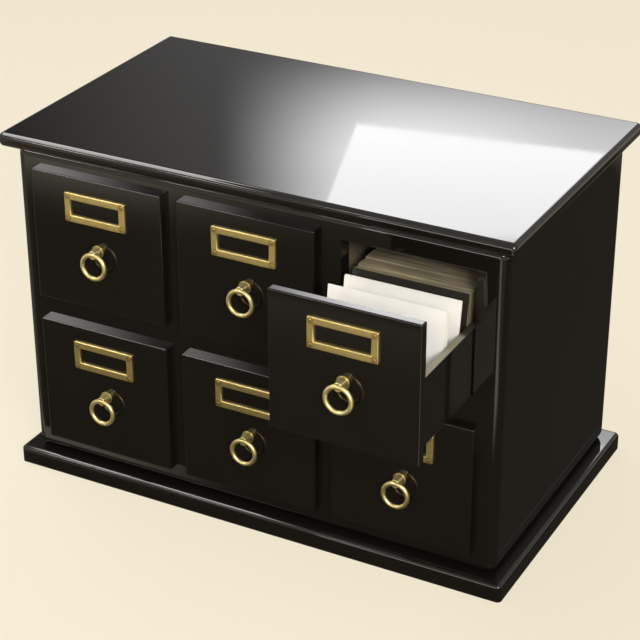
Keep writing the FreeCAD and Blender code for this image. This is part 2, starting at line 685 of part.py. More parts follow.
def leaning_block(name, drawer, foot, thick, tall):
    """Cards standing on the drawer bottom, with their tops leaning towards the drawer back."""
    body = doc.addObject("PartDesign::Body", name)
    profile = new_sketch(body, f"{name}_profile", "YZ_Plane")
    points = [Vector(0, 0, 0), Vector(10, 0, 0), Vector(20, 70, 0), Vector(10, 70, 0)]
    for i in range(4):
        profile.addGeometry(Part.LineSegment(points[i], points[(i + 1) % 4]), False)
    for i in range(4):
        profile.addConstraint(Sketcher.Constraint("Coincident", i, 2, (i + 1) % 4, 1))
    profile.addConstraint(Sketcher.Constraint("Coincident", 0, 1, -1, 1))
    profile.addConstraint(Sketcher.Constraint("Horizontal", 0))
    profile.addConstraint(Sketcher.Constraint("Horizontal", 2))
    profile.addConstraint(Sketcher.Constraint("Equal", 0, 2))
    name_constraint(profile, Sketcher.Constraint("DistanceX", 0, 1, 0, 2, 10), "thick", thick)
    name_constraint(profile, Sketcher.Constraint("DistanceX", 0, 1, 3, 1, 10), "lean", "sizes.card_lean")
    name_constraint(profile, Sketcher.Constraint("DistanceY", 0, 1, 3, 1, 70), "tall", tall)
    pad = body.newObject("PartDesign::Pad", f"{name}_pad")
    pad.Profile = profile
    pad.SideType = "Symmetric"
    bind(pad, {"Length": "sizes.card_wide"})
    place(
        body,
        f"layout.{drawer}_x",
        f"layout.{drawer}_y + {foot}",
        f"layout.{drawer}_z + sizes.floor_high",
    )
    finish(body, name)


def make_cards(drawer):
    behind_guide = "sizes.guide_card_at + sizes.guide_card_thick"
    cards = [
        ("guide_card", "sizes.guide_card_at", "sizes.guide_card_thick", "sizes.guide_card_tall"),
        ("front_cards", behind_guide, "sizes.front_bundle_thick", "sizes.card_tall"),
        ("middle_cards", "sizes.middle_cards_at", "sizes.middle_bundle_thick", "sizes.card_tall"),
        ("divider_card", "sizes.divider_card_at", "sizes.guide_card_thick", "sizes.card_tall"),
        ("rear_cards", "layout.rear_cards_at", "layout.rear_cards_thick", "sizes.card_tall"),
    ]
    for name, foot, thick, tall in cards:
        leaning_block(name, drawer, foot, thick, tall)


# ---------------------------------------------------------------- build, check and write

make_carcass()
for row_name, level in ROWS:
    for column_name, side in COLUMNS:
        make_drawer(f"{row_name}_{column_name}")
make_cards(OPEN_DRAWER)
doc.recompute()

for thing in doc.Objects:
    if "Invalid" in thing.State or "Error" in thing.State:
        raise ValueError(f"{thing.Name} failed: {thing.State}")
for thing in sub_parts:
    if thing.Shape.isNull() or not thing.Shape.isValid():
        raise ValueError(f"{thing.Label} has no valid shape")

os.makedirs("parts", exist_ok=True)
for thing in sub_parts:
    thing.Shape.exportStep(f"parts/{thing.Label}.step")
print(f"{len(sub_parts)} sub-parts, {sum(len(thing.Shape.Solids) for thing in sub_parts)} solids")
travel = layout.floor_long - sizes.frame_thick - sizes.stop_deep
print(f"a drawer slides out {travel:.1f} mm before its back meets the stop")
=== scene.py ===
# %% [markdown]
# # A cabinet of index card drawers
#
# The real object is a small desk-top cabinet in black lacquer: six drawers in two rows, each
# with a brass label frame and a brass ring pull, and one drawer drawn out to show its cards.
# The boards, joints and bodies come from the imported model. This lesson gives them their
# finishes, and makes anew the pieces that want finer detail: the boards at the sides of the
# drawers, the label frames and the cards.

import json
import math
import random

import bmesh
import bpy
from mathutils import Matrix, Vector

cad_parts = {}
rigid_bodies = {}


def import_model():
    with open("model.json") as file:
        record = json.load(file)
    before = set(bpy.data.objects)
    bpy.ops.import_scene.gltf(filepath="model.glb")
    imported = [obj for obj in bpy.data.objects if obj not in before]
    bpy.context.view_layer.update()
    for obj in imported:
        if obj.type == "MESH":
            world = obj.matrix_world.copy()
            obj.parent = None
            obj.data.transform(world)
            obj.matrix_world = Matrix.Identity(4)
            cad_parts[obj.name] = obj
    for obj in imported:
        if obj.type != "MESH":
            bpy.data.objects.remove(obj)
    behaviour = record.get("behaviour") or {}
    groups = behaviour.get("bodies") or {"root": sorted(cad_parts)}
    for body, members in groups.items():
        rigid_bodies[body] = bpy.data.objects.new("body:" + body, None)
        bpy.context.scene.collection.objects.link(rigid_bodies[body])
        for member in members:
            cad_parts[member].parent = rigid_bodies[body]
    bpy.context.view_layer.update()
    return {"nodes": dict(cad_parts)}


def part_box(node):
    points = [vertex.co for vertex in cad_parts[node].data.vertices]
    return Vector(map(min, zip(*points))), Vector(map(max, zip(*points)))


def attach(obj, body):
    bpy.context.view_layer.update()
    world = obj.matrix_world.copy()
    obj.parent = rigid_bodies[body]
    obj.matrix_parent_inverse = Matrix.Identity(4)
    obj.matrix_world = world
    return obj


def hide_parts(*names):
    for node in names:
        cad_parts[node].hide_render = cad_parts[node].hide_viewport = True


for spare in list(bpy.data.objects):
    bpy.data.objects.remove(spare)
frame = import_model()

# %% [markdown]
# ## The camera
#
# A cabinet like this is best seen from above the front right corner, where the top, the
# drawers and the open drawer all show. A long lens from nearly two metres keeps the upright
# edges close to parallel. The camera's turn is built from three plain turns: round the
# upright axis, up from looking straight down, and a slight roll.

# %% Camera
CAMERA_PLACE = Vector((0.91557, -1.72793, 1.20488))
CAMERA_AZIMUTH = math.radians(27.985)
CAMERA_DOWN = math.radians(27.795)
CAMERA_ROLL = math.radians(-0.086)
LENS_MM, SENSOR_MM = 111.80, 36.0
NEAREST, FARTHEST = 0.05, 100.0

camera_data = bpy.data.cameras.new("camera")
camera_data.lens = LENS_MM
camera_data.sensor_width = SENSOR_MM
camera_data.clip_start, camera_data.clip_end = NEAREST, FARTHEST
camera = bpy.data.objects.new("camera", camera_data)
turn = (
    Matrix.Rotation(CAMERA_AZIMUTH, 4, "Z")
    @ Matrix.Rotation(math.pi / 2 - CAMERA_DOWN, 4, "X")
    @ Matrix.Rotation(CAMERA_ROLL, 4, "Z")
)
camera.matrix_world = Matrix.Translation(CAMERA_PLACE) @ turn
bpy.context.scene.collection.objects.link(camera)
bpy.context.scene.camera = camera
bpy.context.scene.view_settings.view_transform = "Standard"
print("camera looks along", [round(v, 3) for v in turn.to_3x3() @ Vector((0, 0, -1))])

# %% [markdown]
# ## Writing materials as sums
#
# A material is a net of small nodes. Wired by hand, a net of sums is long and hard to read,
# so `Wire` wraps one output of a node, and adding or multiplying two wires adds the Math
# node that does it. The forms that start with r let a plain number stand first, as in
# `1.0 - wire`.


# %% One wire of a material
class Wire:
    """One output of a node. Sums of wires and numbers add Math nodes."""

    def __init__(self, finish, socket):
        self.finish = finish
        self.socket = socket

    def out(self, name):
        """Another output of the same node."""
        return Wire(self.finish, self.socket.node.outputs[name])

    def __add__(self, other):
        return self.finish.maths("ADD", self, other)

    def __radd__(self, other):
        return self.finish.maths("ADD", other, self)

    def __sub__(self, other):
        return self.finish.maths("SUBTRACT", self, other)

    def __rsub__(self, other):
        return self.finish.maths("SUBTRACT", other, self)

    def __mul__(self, other):
        return self.finish.maths("MULTIPLY", self, other)

    def __rmul__(self, other):
        return self.finish.maths("MULTIPLY", other, self)


# %% [markdown]
# `Finish` holds one material. Its method `node` makes every node: it takes the node's type,
# its settings, and the values or wires of its sockets. The other methods are short names for
# the few nodes that almost every finish here is made of: a smooth step, a noise in metres, a
# mix of two colours and a small bump.


# %% One whole material
class Finish:
    """One material, and the one method that adds a node to it."""

    def __init__(self, name):
        self.material = bpy.data.materials.new(name)
        self.material.use_nodes = True
        self.tree = self.material.node_tree
        self.tree.nodes.clear()

    def node(self, kind, settings=None, sockets=None):
        """Add a node, set it, fill its sockets with values or wires, and return its output."""
        made = self.tree.nodes.new(kind)
        for name, value in (settings or {}).items():
            setattr(made, name, value)
        for name, value in (sockets or {}).items():
            if isinstance(value, Wire):
                self.tree.links.new(value.socket, made.inputs[name])
            else:
                made.inputs[name].default_value = value
        return Wire(self, next((output for output in made.outputs if output.enabled), None))

    def maths(self, operation, first, second=0.0):
        return self.node("ShaderNodeMath", {"operation": operation}, {0: first, 1: second})

    def mix(self, amount, first, second):
        """A colour between two colours, by an amount from 0 to 1."""
        first, second = (c if isinstance(c, Wire) else (*c, 1.0) for c in (first, second))
        return self.node("ShaderNodeMix", {"data_type": "RGBA"}, {0: amount, 6: first, 7: second})

    def ease(self, value, low, high, start=0.0, end=1.0):
        """A smooth step of a value: start below low, end above high."""
        settings = {"interpolation_type": "SMOOTHSTEP", "clamp": True}
        sockets = {"Value": value, "From Min": low, "From Max": high, "To Min": start, "To Max": end}
        return self.node("ShaderNodeMapRange", settings, sockets)

    def place(self, scale=(1, 1, 1)):
        """Points of the piece in metres, stretched by a scale for each axis."""
        here = self.node("ShaderNodeTexCoord").out("Object")
        return self.node("ShaderNodeMapping", None, {"Vector": here, "Scale": scale})

    def own_metres(self):
        """Points on the piece's own UV map, in the metres that it was given."""
        return self.node("ShaderNodeUVMap", {"uv_map": "metres"})

    def split(self, vector):
        """The three numbers of a vector, each as a wire."""
        parts = self.node("ShaderNodeSeparateXYZ", None, {"Vector": vector})
        return parts.out("X"), parts.out("Y"), parts.out("Z")

    def noise(self, where, scale, detail=3.0, roughness=0.5):
        sockets = {"Vector": where, "Scale": scale, "Detail": detail, "Roughness": roughness}
        return self.node("ShaderNodeTexNoise", None, sockets)

    def bump(self, height, distance, strength):
        sockets = {"Height": height, "Distance": distance, "Strength": strength}
        return self.node("ShaderNodeBump", None, sockets)

    def glow(self, colour, strength):
        """A shader that gives light of its own."""
        return self.node("ShaderNodeEmission", None, {"Color": (*colour, 1.0), "Strength": strength})

    def surface(self, shader):
        """End the net in a shader, and hand over the material."""
        self.node("ShaderNodeOutputMaterial", None, {"Surface": shader})
        return self.material

    def solid(self, sockets):
        """End the net in the all-round shader for solid things."""
        return self.surface(self.node("ShaderNodeBsdfPrincipled", None, sockets))


# %% [markdown]
# ## The floor
#
# The cabinet stands on a plain cream ground that runs on into the background with no line to
# be seen. A studio hangs a wide roll of paper for that. Here it is a very wide shallow bowl,
# made by spinning one profile, so it looks the same from every side. The camera and the
# mirrors see mostly a glow of the floor's own colour, which stays even all over, mixed with
# a share of the light that really falls on it, which keeps the cabinet's soft shadow.

# %% Floor finish
CREAM = (0.9216, 0.8388, 0.6724)
FLOOR_GLOW = 0.925
GLOW_SHARE = 0.82


def floor_finish():
    ground = Finish("pale_floor")
    rays = ground.node("ShaderNodeLightPath")
    seen = rays.out("Is Camera Ray") + rays.out("Is Glossy Ray") + rays.out("Is Transmission Ray")
    lit = ground.node("ShaderNodeBsdfDiffuse", None, {"Color": (*CREAM, 1.0)})
    layers = {0: seen * GLOW_SHARE, 1: lit, 2: ground.glow(CREAM, FLOOR_GLOW)}
    return ground.surface(ground.node("ShaderNodeMixShader", None, layers))


# %% Floor
BOWL_PROFILE = [(0.0, 0.0), (6.0, 0.0), (9.0, 0.0), (11.0, 0.3), (12.5, 1.1), (13.0, 2.4)]
BOWL_STEPS = 64


def mesh_object(name, shape, *materials):
    """Turn a finished bmesh into an object of the scene, at the origin."""
    mesh = bpy.data.meshes.new(name)
    shape.to_mesh(mesh)
    shape.free()
    for material in materials:
        mesh.materials.append(material)
    made = bpy.data.objects.new(name, mesh)
    bpy.context.scene.collection.objects.link(made)
    return made


bowl = bmesh.new()
rim = [bowl.verts.new((x, 0.0, z)) for x, z in BOWL_PROFILE]
edges = [bowl.edges.new(pair) for pair in zip(rim, rim[1:])]
bmesh.ops.spin(
    bowl, geom=rim + edges, cent=(0, 0, 0), axis=(0, 0, 1), angle=2 * math.pi,
    steps=BOWL_STEPS, use_merge=True,
)
bmesh.ops.remove_doubles(bowl, verts=bowl.verts, dist=1e-4)
bmesh.ops.recalc_face_normals(bowl, faces=bowl.faces)
floor = mesh_object("floor", bowl, floor_finish())
floor.data.shade_smooth()
print("floor", [round(v, 1) for v in floor.dimensions], "metres")

# %% [markdown]
# ## The world
#
# A room with pale walls lights everything a little from all sides. An even, slightly warm
# world stands for it, weak enough for the lamps to give the light its direction.

# %% World
WORLD_COLOUR = (1.0, 0.97, 0.92, 1.0)
WORLD_STRENGTH = 0.60

world = bpy.data.worlds.new("studio")
bpy.context.scene.world = world
world.use_nodes = True
world_light = world.node_tree.nodes["Background"]
world_light.inputs["Color"].default_value = WORLD_COLOUR
world_light.inputs["Strength"].default_value = WORLD_STRENGTH
print("world strength", WORLD_STRENGTH)

# %% [markdown]
# ## A scrim and a window behind the cabinet
#
# A polished black top is a mirror, so the broad soft glow on it is the picture of something
# bright behind the cabinet. A studio stands a thin white scrim there with a lamp behind it,
# and a window in the same direction adds a brighter shape with hard edges. Each is one flat
# sheet that the camera itself doesn't see, with a UV map that holds its metres across and
# up. The scrim's glow is a product of smooth steps on that map, and every step can be moved
# alone.

# %% Helpers for glowing sheets
across = Vector((math.cos(CAMERA_AZIMUTH), math.sin(CAMERA_AZIMUTH), 0.0))
away = Vector((-math.sin(CAMERA_AZIMUTH), math.cos(CAMERA_AZIMUTH), 0.0))


def behind_cabinet(corners, distance):
    """Points on an upright plane behind the cabinet, square to the way the camera looks."""
    return [away * distance + across * u + Vector((0, 0, z)) for u, z in corners]


def glowing_sheet(name, corners, points, material):
    """A flat emitter with its corners at these points. Its UV map keeps the plain corners."""
    shape = bmesh.new()
    metres = shape.loops.layers.uv.new("metres")
    face = shape.faces.new([shape.verts.new(point) for point in points])
    for loop, corner in zip(face.loops, corners):
        loop[metres].uv = corner
    sheet = mesh_object(name, shape, material)
    sheet.visible_camera = False
    print(name, round(sum(face.area for face in sheet.data.polygons), 2), "square metres")


# %% Scrim
SCRIM_AWAY = 2.21
SCRIM_CORNERS = [(-1.0, 0.7), (1.5, 0.7), (1.5, 2.1), (-1.0, 2.1)]
SCRIM_COLOUR = (1.0, 0.99, 1.0)
SCRIM_STRENGTH = 6.0
VEIL_LEFT, VEIL_RIGHT = 0.03, 0.36
RIGHT_SHARE = 0.65


def scrim_finish():
    """Bright where it is high and right of the middle, over a faint veil, dark at its edges."""
    scrim = Finish("scrim_glow")
    u, z, _ = scrim.split(scrim.own_metres())
    upward = scrim.ease(z, 1.08, 1.40)
    from_left = scrim.ease(u, -0.25, 0.17)
    to_right = scrim.ease(u, 0.20, 0.70, 1.0, RIGHT_SHARE)
    veil = scrim.ease(u, -0.95, -0.1, VEIL_LEFT, VEIL_RIGHT)
    right_edge = scrim.ease(u, 1.0, 1.5, 1.0, 0.0)
    upper_edge = scrim.ease(z, 1.7, 2.1, 1.0, 0.0)
    lower_edge = scrim.ease(z, 0.75, 1.1)
    bright = upward * from_left * to_right * SCRIM_STRENGTH
    strength = (bright + veil) * (right_edge * upper_edge * lower_edge)
    return scrim.surface(scrim.glow(SCRIM_COLOUR, strength))


glowing_sheet("scrim", SCRIM_CORNERS, behind_cabinet(SCRIM_CORNERS, SCRIM_AWAY), scrim_finish())

# %% Window
WINDOW_AWAY = 2.2
WINDOW_CORNERS = [(0.081, 1.297), (0.75, 1.383), (0.75, 1.60), (-0.010, 1.555)]
WINDOW_COLOUR = (1.0, 0.995, 1.0)
WINDOW_STRENGTH = 6.9

window = Finish("window_glow")
window_finish = window.surface(window.glow(WINDOW_COLOUR, WINDOW_STRENGTH))
glowing_sheet("window", WINDOW_CORNERS, behind_cabinet(WINDOW_CORNERS, WINDOW_AWAY), window_finish)

# %% [markdown]
# ## Soft boxes
#
# Lacquer lives on what it mirrors, but brass, cards and wood want light that falls on them.
# A long soft box hangs over the left end, a square one stands high at the front right and
# does most of the work, and a weak low one in front lifts the brass. A lamp's power here is
# how bright its face is, times pi, times its area, so a box can change its size and still
# look as bright in a mirror.

# %% Soft boxes
LAMP_COLOUR = (1.0, 0.98, 0.95)
SOFT_BOXES = {
    "lamp_over_left": {
        "place": (-1.05, -0.15, 1.75), "aim": (-0.15, -0.15, 0.35),
        "wide": 1.9, "tall": 0.5, "bright": 8.0,
    },
    "lamp_front_right": {
        "place": (1.9, -2.2, 1.75), "aim": (0.1, -0.2, 0.2),
        "wide": 0.9, "tall": 0.9, "bright": 30.0,
    },
    "lamp_low_front": {
        "place": (-0.20, -2.3, 0.25), "aim": (0.0, -0.2, 0.22),
        "wide": 1.2, "tall": 0.35, "bright": 4.8,
    },
}


def soft_box(name, place, aim, wide, tall, bright):
    """A rectangular lamp at a place, turned to face its aim."""
    lamp = bpy.data.lights.new(name, "AREA")
    lamp.shape = "RECTANGLE"
    lamp.size, lamp.size_y = wide, tall
    lamp.energy = bright * math.pi * wide * tall
    lamp.color = LAMP_COLOUR
    box = bpy.data.objects.new(name, lamp)
    box.location = place
    box.rotation_euler = (Vector(aim) - Vector(place)).to_track_quat("-Z", "Y").to_euler()
    box.visible_camera = False
    bpy.context.scene.collection.objects.link(box)
    print(name, round(lamp.energy, 1), "watts")


for name, sizes in SOFT_BOXES.items():
    soft_box(name, **sizes)

# %% [markdown]
# ## Panes for the rounded edges
#
# A rounded lacquered edge mirrors a wide arc of the room and squeezes it into a thin line.
# The bright lines along the top of each drawer front and round the boards are the picture of
# a row of three window panes, high up in front of the cabinet. The row is one sheet, leaning
# a little. Across it, its UV map counts panes and not metres: 0 to 1 is the first pane, and
# so on, and the fraction of that number runs from the bright end of a pane to its dim end.

# %% Panes
PANE_CORNERS = [(0.0, 1.26), (0.0, 1.52), (3.0, 1.52), (3.0, 1.26)]
PANE_LEFT, PANE_WIDE = -1.66, 0.388
PANE_FRONT, PANE_LEAN, PANE_MIDDLE = -2.0, 0.4, 1.36
PANE_BRIGHT, PANE_DIM = 36.0, 2.0
LESS_IN_SECOND, LESS_IN_THIRD = 10.0, 11.0
DIM_AT, SOONER_AFTER_FIRST = 0.95, 0.30
LOWER_SHARE = 0.8


def pane_finish():
    """Three panes side by side, each fading to the right, and after the first the sooner."""
    panes = Finish("pane_glow")
    count, z, _ = panes.split(panes.own_metres())
    along = panes.maths("FRACT", count)
    past_first = panes.ease(count, 0.97, 1.0)
    past_second = panes.ease(count, 1.97, 2.0)
    bright_end = PANE_BRIGHT - past_first * LESS_IN_SECOND - past_second * LESS_IN_THIRD
    dim_at = DIM_AT - past_first * SOONER_AFTER_FIRST
    height = panes.ease(z, 1.30, 1.44, LOWER_SHARE, 1.0)
    strength = panes.ease(along, 0.0, dim_at, bright_end, PANE_DIM) * height
    return panes.surface(panes.glow(LAMP_COLOUR, strength))


pane_points = [
    (PANE_LEFT + u * PANE_WIDE, PANE_FRONT - PANE_LEAN * (z - PANE_MIDDLE), z)
    for u, z in PANE_CORNERS
]
glowing_sheet("panes", PANE_CORNERS, pane_points, pane_finish())

# %% [markdown]
# ## A dark cloth round the cabinet
#
# Black lacquer shows what stands round it more than it shows itself. On a bare pale floor the
# upright boards would look milky, so a dark cloth lies round the cabinet. Only gloss sees it:
# it casts no shadow and the camera looks through it. The cloth is not quite black, and a few
# lighter patches on it draw what the upright boards show: the soft glow high on the drawer
# fronts, lighter still at the left, a line down the right-hand corners, a paler upright at
# the far left, and a pale band at the foot of the cabinet.

# %% Dark cloth finish
FRONT_FACE_Y = -0.168
CLOTH_COLOUR = (1.0, 0.91, 0.73)
CLOTH_WHOLE, CLOTH_GONE = 1.5, 2.0
DARK_NEAR, DARK_AHEAD = 0.05, 0.07
FOOT_GLOW, CORNER_GLOW, LEFT_GLOW, FAR_GLOW = 0.95, 1.6, 0.4, 2.2
LEFT_LINE_X, LEFT_LINE_SLOPE = 0.27, 0.76


def cloth_patches(cloth):
    """How much each place glows. A patch is a product of steps on x and on metres ahead."""
    x, y, _ = cloth.split(cloth.place())
    ahead = FRONT_FACE_Y - y
    all_round = cloth.ease(ahead, 0.0, 0.45, DARK_NEAR, DARK_AHEAD)
    foot_band = cloth.ease(ahead, 0.029, 0.033) * cloth.ease(ahead, 0.049, 0.054, 1.0, 0.0)
    foot_band = foot_band * cloth.ease(x, -0.24, -0.02, FOOT_GLOW, 0.0)
    corner = cloth.ease(x, 0.29, 0.37, 0.0, CORNER_GLOW) * cloth.ease(x, 0.50, 0.60, 1.0, 0.12)
    corner = corner * cloth.ease(ahead, 0.20, 0.38)
    from_line = x + LEFT_LINE_X + ahead * LEFT_LINE_SLOPE
    past_left = cloth.ease(from_line, -0.04, 0.0, LEFT_GLOW, 0.0)
    past_left = past_left * cloth.ease(ahead, -0.2, 0.6, 0.3, 1.0)
    far = cloth.ease(ahead, 0.50, 0.82)
    leftward = cloth.ease(x, -0.75, -0.25, FAR_GLOW, 0.24)
    leftward = leftward * cloth.ease(ahead, 0.735, 0.755, 1.0, 0.1)
    return all_round + foot_band + corner + past_left + far * far * leftward


def cloth_finish():
    """The patches, fading to nothing towards the edge of the cloth."""
    cloth = Finish("dark_cloth")
    strength = cloth_patches(cloth)
    distance = cloth.node("ShaderNodeVectorMath", {"operation": "LENGTH"}, {0: cloth.place()})
    radius = distance.out("Value")
    layers = {
        0: cloth.ease(radius, CLOTH_WHOLE, CLOTH_GONE, 1.0, 0.0),
        1: cloth.node("ShaderNodeBsdfTransparent"),
        2: cloth.glow(CLOTH_COLOUR, strength),
    }
    return cloth.surface(cloth.node("ShaderNodeMixShader", None, layers))


# %% Dark cloth
CLOTH_HALF = 2.2
CLOTH_LIFT = 0.0005

cloth_shape = bmesh.new()
bmesh.ops.create_grid(cloth_shape, x_segments=1, y_segments=1, size=CLOTH_HALF)
bmesh.ops.translate(cloth_shape, verts=cloth_shape.verts, vec=(0, 0, CLOTH_LIFT))
cloth_sheet = mesh_object("dark_cloth", cloth_shape, cloth_finish())
for ray in ("camera", "diffuse", "shadow", "transmission", "volume_scatter"):
    setattr(cloth_sheet, "visible_" + ray, False)
print("cloth", [round(v, 1) for v in cloth_sheet.dimensions], "metres, seen by gloss only")

# %% [markdown]
# ## Black lacquer
#
# Real lacquer is many thin black coats, each rubbed down, so the colour is almost nothing and
# the gloss is everything: a clear, sharp mirror of about four parts in a hundred, which rises
# at a slant. A hand leaves faint smears that blur the mirror here and there, and the rubbing
# leaves a very slight waviness. Both come from noise, in roughness and in a tiny bump.
#
# Nobody lacquers the inside of a cabinet, where the boards are only stained. The outer boards
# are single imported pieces, so their finish finds the inner faces by their place: whatever
# lies within the box of the inside is stained wood.

# %% Where the inside of the cabinet is
STAINED_LIGHT, STAINED_DARK = (0.19, 0.15, 0.10), (0.12, 0.095, 0.06)
INSIDE_X, INSIDE_Y, INSIDE_Z = 0.2650, (-0.1405, 0.1515), (0.0195, 0.3893)


def inside_cabinet(finish):
    """1 on the faces that close the inside of the cabinet, 0 on all that shows outside."""
    x, y, z = finish.split(finish.place())
    inside = finish.maths("LESS_THAN", finish.maths("ABSOLUTE", x), INSIDE_X)
    for value, (low, high) in ((y, INSIDE_Y), (z, INSIDE_Z)):
        inside = inside * finish.maths("GREATER_THAN", value, low)
        inside = inside * finish.maths("LESS_THAN", value, high)
    return inside


# %% Lacquer
BLACK_DEEP, BLACK_WARM = (0.0050, 0.0043, 0.0032), (0.0066, 0.0057, 0.0043)
LACQUER_IOR = 1.5
RUBBED_ALONG, GRAIN_ALONG = (1.0, 0.35, 1.0), (1.0, 0.06, 1.0)
STAINED_ROUGHER = 0.5


def lacquer_finish(name, stained_inside=False):
    lacquer = Finish(name)
    here = lacquer.place()
    cloud = lacquer.noise(here, scale=7.0, detail=4.0)
    smear = lacquer.noise(lacquer.place(RUBBED_ALONG), scale=26.0, detail=5.0, roughness=0.6)
    wave = lacquer.noise(here, scale=160.0, detail=2.0)
    colour = lacquer.mix(cloud, BLACK_DEEP, BLACK_WARM)
    rough = lacquer.ease(cloud, 0.4, 0.7, 0.028, 0.045) + lacquer.ease(smear, 0.55, 0.75, 0.0, 0.02)
    if stained_inside:
        inside = inside_cabinet(lacquer)
        grain = lacquer.noise(lacquer.place(GRAIN_ALONG), scale=95.0, detail=5.0)
        stained = lacquer.mix(lacquer.ease(grain, 0.3, 0.7), STAINED_DARK, STAINED_LIGHT)
        colour = lacquer.mix(inside, colour, stained)
        rough = rough + inside * STAINED_ROUGHER
    return lacquer.solid({
        "Base Color": colour,
        "Roughness": rough,
        "IOR": LACQUER_IOR,
        "Normal": lacquer.bump(wave, distance=0.00001, strength=0.4),
    })


LACQUER = lacquer_finish("black_lacquer")
CABINET_LACQUER = lacquer_finish("black_lacquer_bare_inside", stained_inside=True)
print("lacquers", LACQUER.name, CABINET_LACQUER.name)

# %% [markdown]
# ## Brass
#
# The rings, posts and label frames are solid brass that has been handled for years: satin,
# not mirror bright, and a little darker in clouds where hands have left it alone. A rough
# metal gives the satin, and a thin clear coat on it keeps the small sharp glints of worn
# high spots. The label frames are flatter and duller, so they get a rougher brass of their
# own further on.

# %% Brass
# The brown of the patch round the label pins, partly patina and partly painted shade.
PIN_PATCH_BROWN = (0.30, 0.185, 0.055)
PIN_PATCH_ROUGHER = 0.06
SATIN_SPREAD = 0.045
COAT_ROUGH = 0.12


def brass_finish(name, light, dark, satin, patina_and_shade=None):
    """Handled brass. The last argument makes a wire, 1 where the metal is browner: partly patina and
    partly painted shade.
    """
    brass = Finish(name)
    here = brass.place()
    patina = brass.noise(here, scale=90.0, detail=5.0, roughness=0.6)
    fine = brass.noise(here, scale=1400.0, detail=2.0)
    colour = brass.mix(brass.ease(patina, 0.35, 0.65), dark, light)
    rough = brass.ease(patina, 0.3, 0.7, satin + SATIN_SPREAD, satin - SATIN_SPREAD)
    # A browner, rougher patch, partly patina and partly painted shade.
    if patina_and_shade:
        pin_patch = patina_and_shade(brass)
        colour = brass.mix(pin_patch, colour, PIN_PATCH_BROWN)
        rough = rough + pin_patch * PIN_PATCH_ROUGHER
    return brass.solid({
        "Base Color": colour,
        "Metallic": 1.0,
        "Roughness": rough,
        "Coat Weight": brass.ease(patina, 0.3, 0.6, 0.25, 0.5),
        "Coat Roughness": COAT_ROUGH,
        "Normal": brass.bump(fine, distance=0.00002, strength=0.5),
    })


BRASS = brass_finish("worn_brass", light=(0.82, 0.695, 0.335), dark=(0.69, 0.57, 0.24), satin=0.44)
print("brass", BRASS.name)

# %% [markdown]
# ## Wood
#
# Inside, the drawers are pale sanded wood, and the shelves and dividers of the cabinet are
# stained dark brown and left matt. Both have grain that runs along the board: a noise
# stretched a long way in one direction, with finer, longer pores on top. The side boards of
# the drawers carry a painted shadow: behind a slightly ragged line about a tenth of a metre
# from the front their wood is painted dark, so their finish takes a mask for it.

# %% Wood
# The dark brown of the painted shadow on the drawer sides.
PAINTED_SHADOW_TONE = (0.030, 0.024, 0.015)
GRAIN_STRETCH, PORE_STRETCH = 0.06, 0.02
GRAIN_SHADE, GRAIN_MOST = 0.72, 0.6
PORE_DEEP = 0.5


def shaded(colour, share):
    return tuple(share * v for v in colour)


def stretched(along, scale):
    """Scales for the three axes that draw a pattern out along one of them."""
    return [scale if axis == along else 1.0 for axis in range(3)]


def wood_finish(name, along, light, dark, rough=0.55, painted_shadow=None):
    """Wood with its grain along axis 0, 1 or 2. The last argument makes a wire, 1 where a painted
    shadow darkens the wood.
    """
    wood = Finish(name)
    lengthwise = stretched(along, GRAIN_STRETCH)
    grain = wood.noise(wood.place(lengthwise), scale=95.0, detail=6.0, roughness=0.6)
    bands = wood.noise(wood.place(lengthwise), scale=28.0)
    pores = wood.noise(wood.place(stretched(along, PORE_STRETCH)), scale=1300.0, detail=2.0)
    tone = wood.mix(wood.ease(bands, 0.3, 0.7), dark, light)
    streaks = wood.ease(grain, 0.45, 0.75, 0.0, GRAIN_MOST)
    tone = wood.mix(streaks, tone, shaded(dark, GRAIN_SHADE))
    # Painted shadow: the wood turns dark wherever the mask is 1.
    if painted_shadow:
        tone = wood.mix(painted_shadow(wood), tone, PAINTED_SHADOW_TONE)
    return wood.solid({
        "Base Color": tone,
        "Roughness": wood.ease(grain, 0.3, 0.7, rough - 0.06, rough + 0.08),
        "Normal": wood.bump(grain + pores * PORE_DEEP, distance=0.00012, strength=0.5),
    })


# %% Woods of the drawers and the cabinet
# Where the painted shadow on the drawer sides begins behind the front, and how soft and ragged its line
# is.
SHADOW_FROM_FRONT = 0.105
SHADOW_FADE, SHADOW_RAGGED = 0.012, 0.008
ALONG_X, ALONG_Y = 0, 1


def painted_shadow_behind(wood):
    """0 on the front part of a side board, 1 on the part behind it, which is painted dark as shadow."""
    back_from_front, _, _ = wood.split(wood.own_metres())
    ragged = wood.noise(wood.place(), scale=120.0)
    return wood.ease(back_from_front + ragged * SHADOW_RAGGED, SHADOW_FROM_FRONT, SHADOW_FROM_FRONT + SHADOW_FADE)


# The drawer sides' wood, with a painted shadow on its rear part.
SIDE_WOOD = wood_finish(
    "pale_wood_lengthwise", ALONG_Y, (0.22, 0.20, 0.14), (0.15, 0.134, 0.09),
    painted_shadow=painted_shadow_behind,
)
PALE_WOOD = wood_finish("pale_wood_crosswise", ALONG_X, (0.44, 0.40, 0.30), (0.34, 0.30, 0.21))
STAINED_WOOD = wood_finish("stained_wood", ALONG_Y, STAINED_LIGHT, STAINED_DARK, rough=0.6)
print("woods", SIDE_WOOD.name, PALE_WOOD.name, STAINED_WOOD.name)

# %% [markdown]
# ## Card
#
# Cards are near white with the faint cloudiness of pressed pulp and fine fibres in it. The
# old ones at the back are buff, and some have darkened more than their neighbours: a noise
# that changes only from front to back gives each card its own shade. The divider among them
# is dark pressboard.

# %% Card
FIBRE_MOST = 0.35
AGED_SHADE = 0.25
CARD_BY_CARD = (0.02, 1.0, 0.02)


